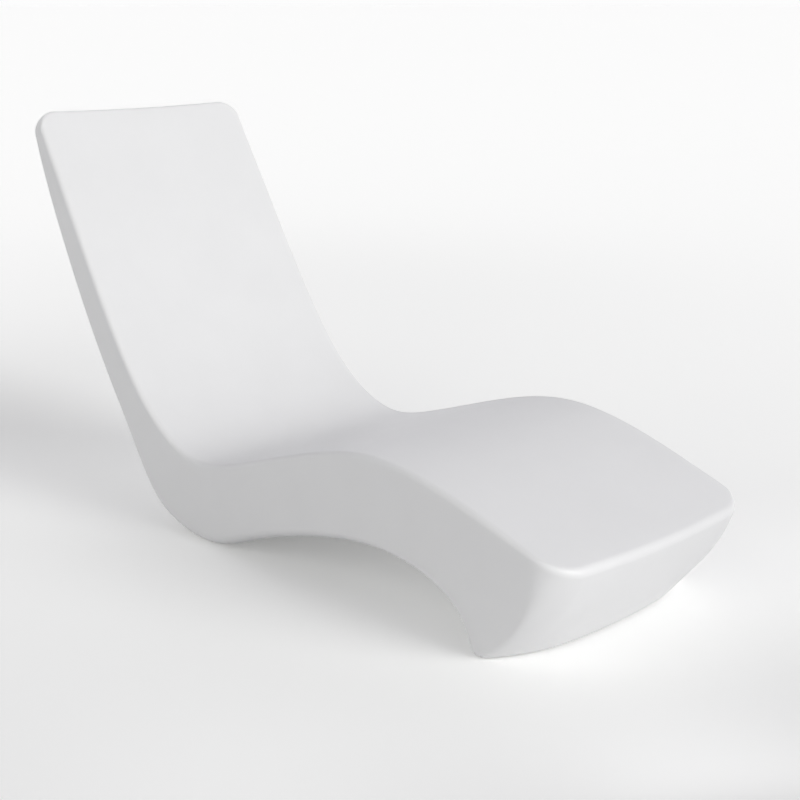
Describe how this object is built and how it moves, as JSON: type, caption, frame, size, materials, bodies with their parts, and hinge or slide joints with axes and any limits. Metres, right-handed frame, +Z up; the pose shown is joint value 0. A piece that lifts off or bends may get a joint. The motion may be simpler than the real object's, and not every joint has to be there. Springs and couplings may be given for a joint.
{
  "type": "outdoor lounge chair",
  "caption": "Hollow moulded outdoor lounge chair with a tall reclined back, seat dip, knee hump and bowed foot, screwed-on glides, and filler and drain screw plugs behind.",
  "frame": {"origin": "on the floor, under the middle of the chair's length and width", "axes": "+X towards the feet, +Y to the sitter's left, +Z up"},
  "size_m": [1.7617, 0.65, 0.9658],
  "materials": {
    "moulded_white": "satin, very fine moulded texture",
    "bush_nylon": "plain moulded",
    "plug_nylon": "plain moulded",
    "seal_rubber": "matte",
    "glide_rubber": "matte",
    "stainless": "plain",
    "insert_brass": "turned"
  },
  "bodies": {
    "chair": {"shell": "moulded_white", "filler_bush": "bush_nylon", "drain_bush": "bush_nylon", "glide_front_left": "glide_rubber", "glide_front_right": "glide_rubber", "glide_rear_left": "glide_rubber", "glide_rear_right": "glide_rubber", "washer_front_left": "stainless", "washer_front_right": "stainless", "washer_rear_left": "stainless", "washer_rear_right": "stainless", "screw_front_left": "stainless", "screw_front_right": "stainless", "screw_rear_left": "stainless", "screw_rear_right": "stainless", "insert_front_left": "insert_brass", "insert_front_right": "insert_brass", "insert_rear_left": "insert_brass", "insert_rear_right": "insert_brass"},
    "filler_ring": {"filler_seal": "seal_rubber"},
    "filler_screw": {"filler_plug": "plug_nylon"},
    "drain_ring": {"drain_seal": "seal_rubber"},
    "drain_screw": {"drain_plug": "plug_nylon"}
  },
  "joints": [
    {"name": "filler_lift", "type": "slide", "parent": "chair", "child": "filler_ring", "axis": [-0.929, 0, -0.3701], "range_m": [0, 0.01]},
    {"name": "filler_turn", "type": "hinge", "parent": "filler_ring", "child": "filler_screw", "pos_m": [-0.81899, 0, 0.79952], "axis": [-0.929, 0, -0.3701], "range_deg": [0, 1440]},
    {"name": "drain_lift", "type": "slide", "parent": "chair", "child": "drain_ring", "axis": [-0.7964, 0, -0.6048], "range_m": [0, 0.01]},
    {"name": "drain_turn", "type": "hinge", "parent": "drain_ring", "child": "drain_screw", "pos_m": [-0.4355, 0, 0.12105], "axis": [-0.7964, 0, -0.6048], "range_deg": [0, 1440]}
  ],
  "couplings": [
    {"joint": "filler_lift", "follows": "filler_turn", "m_per_rad": 0.00039788},
    {"joint": "drain_lift", "follows": "drain_turn", "m_per_rad": 0.00039788}
  ]
}
